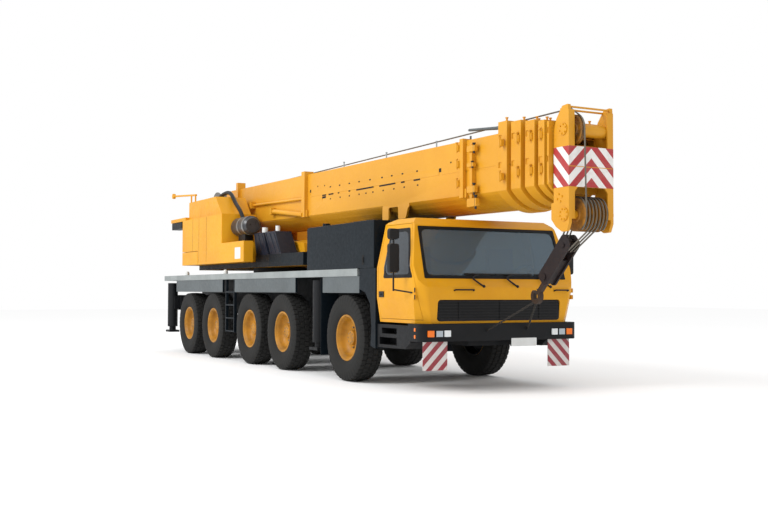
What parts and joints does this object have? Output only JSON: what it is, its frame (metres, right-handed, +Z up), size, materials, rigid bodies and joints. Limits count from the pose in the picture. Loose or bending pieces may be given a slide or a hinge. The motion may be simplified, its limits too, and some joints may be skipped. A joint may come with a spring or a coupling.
{
  "type": "mobile crane",
  "caption": "Mobile crane on a wheeled carrier with a low front cab, a slewing superstructure, a telescopic boom laid forward and its hook block lashed ahead of the bumper.",
  "frame": {"origin": "on the ground under the middle of the machine's box", "axes": "+X forward, +Y to the machine's left, +Z up"},
  "size_m": [14.4098, 3.27, 3.8401],
  "materials": {
    "yellow_paint": "semi-gloss",
    "dark_paint": "satin",
    "grey_paint": "satin",
    "black_paint": "satin",
    "cast_steel": "matt",
    "polished_rod": "polished",
    "window_glass": "tinted",
    "trim_plastic": "matt",
    "lamp_lens": "clear",
    "tyre_rubber": "matt"
  },
  "bodies": {
    "carrier": {"chassis_frame": "dark_paint", "deck": "grey_paint", "side_panels": "dark_paint", "engine_cowl": "dark_paint", "cowl_fittings": "black_paint", "carrier_engine": "cast_steel", "cab_shell": "yellow_paint", "windscreen": "window_glass", "grille": "black_paint", "cab_interior": "trim_plastic", "bumper": "dark_paint", "lamps": "lamp_lens", "axle_beams": "dark_paint"},
    "door_right": {"door_right": "yellow_paint", "door_glass_right": "window_glass"},
    "door_left": {"door_left": "yellow_paint", "door_glass_left": "window_glass"},
    "superstructure": {"turntable": "yellow_paint", "counterweight": "yellow_paint", "engine_housing": "yellow_paint", "housing_fittings": "black_paint", "winch": "black_paint", "upper_cab": "yellow_paint"},
    "upper_cab_door": {"upper_cab_door": "yellow_paint"},
    "boom": {"boom_base": "yellow_paint"},
    "boom_head": {"boom_head": "yellow_paint", "head_sheaves": "cast_steel"},
    "hook": {"hook_block": "black_paint"},
    "luff_barrel": {"luff_barrel": "dark_paint"},
    "luff_rod": {"luff_rod": "polished_rod"},
    "boom_section_1": {"boom_section_1": "yellow_paint"},
    "boom_section_2": {"boom_section_2": "yellow_paint"},
    "boom_section_3": {"boom_section_3": "yellow_paint"},
    "boom_section_4": {"boom_section_4": "yellow_paint"},
    "knuckle_1_right": {"knuckle_1_right": "dark_paint"},
    "knuckle_1_left": {"knuckle_1_left": "dark_paint"},
    "knuckle_2_right": {"knuckle_2_right": "dark_paint"},
    "knuckle_2_left": {"knuckle_2_left": "dark_paint"},
    "knuckle_4_right": {"knuckle_4_right": "dark_paint"},
    "knuckle_4_left": {"knuckle_4_left": "dark_paint"},
    "knuckle_5_right": {"knuckle_5_right": "dark_paint"},
    "knuckle_5_left": {"knuckle_5_left": "dark_paint"},
    "wheel_1_right": {"wheel_1_right": "tyre_rubber"},
    "wheel_1_left": {"wheel_1_left": "tyre_rubber"},
    "wheel_2_right": {"wheel_2_right": "tyre_rubber"},
    "wheel_2_left": {"wheel_2_left": "tyre_rubber"},
    "wheel_3_right": {"wheel_3_right": "tyre_rubber"},
    "wheel_3_left": {"wheel_3_left": "tyre_rubber"},
    "wheel_4_right": {"wheel_4_right": "tyre_rubber"},
    "wheel_4_left": {"wheel_4_left": "tyre_rubber"},
    "wheel_5_right": {"wheel_5_right": "tyre_rubber"},
    "wheel_5_left": {"wheel_5_left": "tyre_rubber"},
    "outrigger_beam_front_right": {"outrigger_beam_front_right": "dark_paint"},
    "outrigger_jack_front_right": {"outrigger_jack_front_right": "dark_paint"},
    "outrigger_beam_front_left": {"outrigger_beam_front_left": "dark_paint"},
    "outrigger_jack_front_left": {"outrigger_jack_front_left": "dark_paint"},
    "outrigger_beam_rear_right": {"outrigger_beam_rear_right": "dark_paint"},
    "outrigger_jack_rear_right": {"outrigger_jack_rear_right": "dark_paint"},
    "outrigger_beam_rear_left": {"outrigger_beam_rear_left": "dark_paint"},
    "outrigger_jack_rear_left": {"outrigger_jack_rear_left": "dark_paint"}
  },
  "joints": [
    {"name": "steer_1_right", "type": "hinge", "parent": "carrier", "child": "knuckle_1_right", "pos_m": [2.745, -0.94, 0.685], "axis": [0, 0, 1], "range_deg": [-30, 30]},
    {"name": "steer_1_left", "type": "hinge", "parent": "carrier", "child": "knuckle_1_left", "pos_m": [2.745, 0.94, 0.685], "axis": [0, 0, 1], "range_deg": [-30, 30]},
    {"name": "steer_2_right", "type": "hinge", "parent": "carrier", "child": "knuckle_2_right", "pos_m": [0.145, -0.94, 0.685], "axis": [0, 0, 1], "range_deg": [-23.4, 23.4]},
    {"name": "steer_2_left", "type": "hinge", "parent": "carrier", "child": "knuckle_2_left", "pos_m": [0.145, 0.94, 0.685], "axis": [0, 0, 1], "range_deg": [-23.4, 23.4]},
    {"name": "steer_4_right", "type": "hinge", "parent": "carrier", "child": "knuckle_4_right", "pos_m": [-3.655, -0.94, 0.685], "axis": [0, 0, 1], "range_deg": [-13.5, 13.5]},
    {"name": "steer_4_left", "type": "hinge", "parent": "carrier", "child": "knuckle_4_left", "pos_m": [-3.655, 0.94, 0.685], "axis": [0, 0, 1], "range_deg": [-13.5, 13.5]},
    {"name": "steer_5_right", "type": "hinge", "parent": "carrier", "child": "knuckle_5_right", "pos_m": [-5.305, -0.94, 0.685], "axis": [0, 0, 1], "range_deg": [-22.5, 22.5]},
    {"name": "steer_5_left", "type": "hinge", "parent": "carrier", "child": "knuckle_5_left", "pos_m": [-5.305, 0.94, 0.685], "axis": [0, 0, 1], "range_deg": [-22.5, 22.5]},
    {"name": "roll_1_right", "type": "hinge", "parent": "knuckle_1_right", "child": "wheel_1_right", "pos_m": [2.745, -1.1875, 0.685], "axis": [0, 1, 0], "continuous": true},
    {"name": "roll_1_left", "type": "hinge", "parent": "knuckle_1_left", "child": "wheel_1_left", "pos_m": [2.745, 1.1875, 0.685], "axis": [0, 1, 0], "continuous": true},
    {"name": "roll_2_right", "type": "hinge", "parent": "knuckle_2_right", "child": "wheel_2_right", "pos_m": [0.145, -1.1875, 0.685], "axis": [0, 1, 0], "continuous": true},
    {"name": "roll_2_left", "type": "hinge", "parent": "knuckle_2_left", "child": "wheel_2_left", "pos_m": [0.145, 1.1875, 0.685], "axis": [0, 1, 0], "continuous": true},
    {"name": "roll_3_right", "type": "hinge", "parent": "carrier", "child": "wheel_3_right", "pos_m": [-1.505, -1.1875, 0.685], "axis": [0, 1, 0], "continuous": true},
    {"name": "roll_3_left", "type": "hinge", "parent": "carrier", "child": "wheel_3_left", "pos_m": [-1.505, 1.1875, 0.685], "axis": [0, 1, 0], "continuous": true},
    {"name": "roll_4_right", "type": "hinge", "parent": "knuckle_4_right", "child": "wheel_4_right", "pos_m": [-3.655, -1.1875, 0.685], "axis": [0, 1, 0], "continuous": true},
    {"name": "roll_4_left", "type": "hinge", "parent": "knuckle_4_left", "child": "wheel_4_left", "pos_m": [-3.655, 1.1875, 0.685], "axis": [0, 1, 0], "continuous": true},
    {"name": "roll_5_right", "type": "hinge", "parent": "knuckle_5_right", "child": "wheel_5_right", "pos_m": [-5.305, -1.1875, 0.685], "axis": [0, 1, 0], "continuous": true},
    {"name": "roll_5_left", "type": "hinge", "parent": "knuckle_5_left", "child": "wheel_5_left", "pos_m": [-5.305, 1.1875, 0.685], "axis": [0, 1, 0], "continuous": true},
    {"name": "outrigger_front_right", "type": "slide", "parent": "carrier", "child": "outrigger_beam_front_right", "axis": [0, -1, 0], "range_m": [0, 1.75]},
    {"name": "jack_front_right", "type": "slide", "parent": "outrigger_beam_front_right", "child": "outrigger_jack_front_right", "axis": [0, 0, -1], "range_m": [0, 0.42]},
    {"name": "outrigger_front_left", "type": "slide", "parent": "carrier", "child": "outrigger_beam_front_left", "axis": [0, 1, 0], "range_m": [0, 1.75]},
    {"name": "jack_front_left", "type": "slide", "parent": "outrigger_beam_front_left", "child": "outrigger_jack_front_left", "axis": [0, 0, -1], "range_m": [0, 0.42]},
    {"name": "outrigger_rear_right", "type": "slide", "parent": "carrier", "child": "outrigger_beam_rear_right", "axis": [0, -1, 0], "range_m": [0, 1.75]},
    {"name": "jack_rear_right", "type": "slide", "parent": "outrigger_beam_rear_right", "child": "outrigger_jack_rear_right", "axis": [0, 0, -1], "range_m": [0, 0.42]},
    {"name": "outrigger_rear_left", "type": "slide", "parent": "carrier", "child": "outrigger_beam_rear_left", "axis": [0, 1, 0], "range_m": [0, 1.75]},
    {"name": "jack_rear_left", "type": "slide", "parent": "outrigger_beam_rear_left", "child": "outrigger_jack_rear_left", "axis": [0, 0, -1], "range_m": [0, 0.42]},
    {"name": "door_right_hinge", "type": "hinge", "parent": "carrier", "child": "door_right", "pos_m": [4.983, -1.378, 1.5], "axis": [0, 0, 1], "range_deg": [0, 70]},
    {"name": "door_left_hinge", "type": "hinge", "parent": "carrier", "child": "door_left", "pos_m": [4.983, 1.378, 1.5], "axis": [0, 0, -1], "range_deg": [0, 70]},
    {"name": "slew", "type": "hinge", "parent": "carrier", "child": "superstructure", "pos_m": [-2.605, 0, 1.77], "axis": [0, 0, 1], "continuous": true},
    {"name": "upper_door_slide", "type": "slide", "parent": "superstructure", "child": "upper_cab_door", "axis": [-1, 0, 0], "range_m": [0, 0.7]},
    {"name": "luff", "type": "hinge", "parent": "superstructure", "child": "boom", "pos_m": [-4.805, 0, 3.00398], "axis": [0, -1, 0], "range_deg": [0, 80]},
    {"name": "luff_barrel_swing", "type": "hinge", "parent": "superstructure", "child": "luff_barrel", "pos_m": [-3.455, 0, 2.265], "axis": [0, -1, 0], "range_deg": [0, 86.61]},
    {"name": "luff_rod_slide", "type": "slide", "parent": "luff_barrel", "child": "luff_rod", "axis": [0.9997, 0, 0.0261], "range_m": [0, 1.9023]},
    {"name": "telescope_1", "type": "slide", "parent": "boom", "child": "boom_section_1", "axis": [0.9999, 0, -0.0105], "range_m": [0, 8.8]},
    {"name": "telescope_2", "type": "slide", "parent": "boom_section_1", "child": "boom_section_2", "axis": [0.9999, 0, -0.0105], "range_m": [0, 8.8]},
    {"name": "telescope_3", "type": "slide", "parent": "boom_section_2", "child": "boom_section_3", "axis": [0.9999, 0, -0.0105], "range_m": [0, 8.8]},
    {"name": "telescope_4", "type": "slide", "parent": "boom_section_3", "child": "boom_section_4", "axis": [0.9999, 0, -0.0105], "range_m": [0, 8.8]},
    {"name": "telescope_5", "type": "slide", "parent": "boom_section_4", "child": "boom_head", "axis": [0.9999, 0, -0.0105], "range_m": [0, 8.8]},
    {"name": "hook_swing", "type": "hinge", "parent": "boom_head", "child": "hook", "pos_m": [6.99, 0, 2.405], "axis": [0, 1, 0], "range_deg": [0, 31.2]}
  ],
  "couplings": [
    {"joint": "steer_1_left", "follows": "steer_1_right", "ratio": 1},
    {"joint": "steer_2_right", "follows": "steer_1_right", "ratio": 0.78},
    {"joint": "steer_2_left", "follows": "steer_1_right", "ratio": 0.78},
    {"joint": "steer_4_right", "follows": "steer_5_right", "ratio": 0.6},
    {"joint": "steer_4_left", "follows": "steer_5_right", "ratio": 0.6},
    {"joint": "steer_5_left", "follows": "steer_5_right", "ratio": 1},
    {"joint": "luff_barrel_swing", "follows": "luff", "ratio": 1.0764},
    {"joint": "luff_rod_slide", "follows": "luff", "m_per_rad": 1.3588},
    {"joint": "hook_swing", "follows": "luff", "ratio": 0.3875}
  ]
}
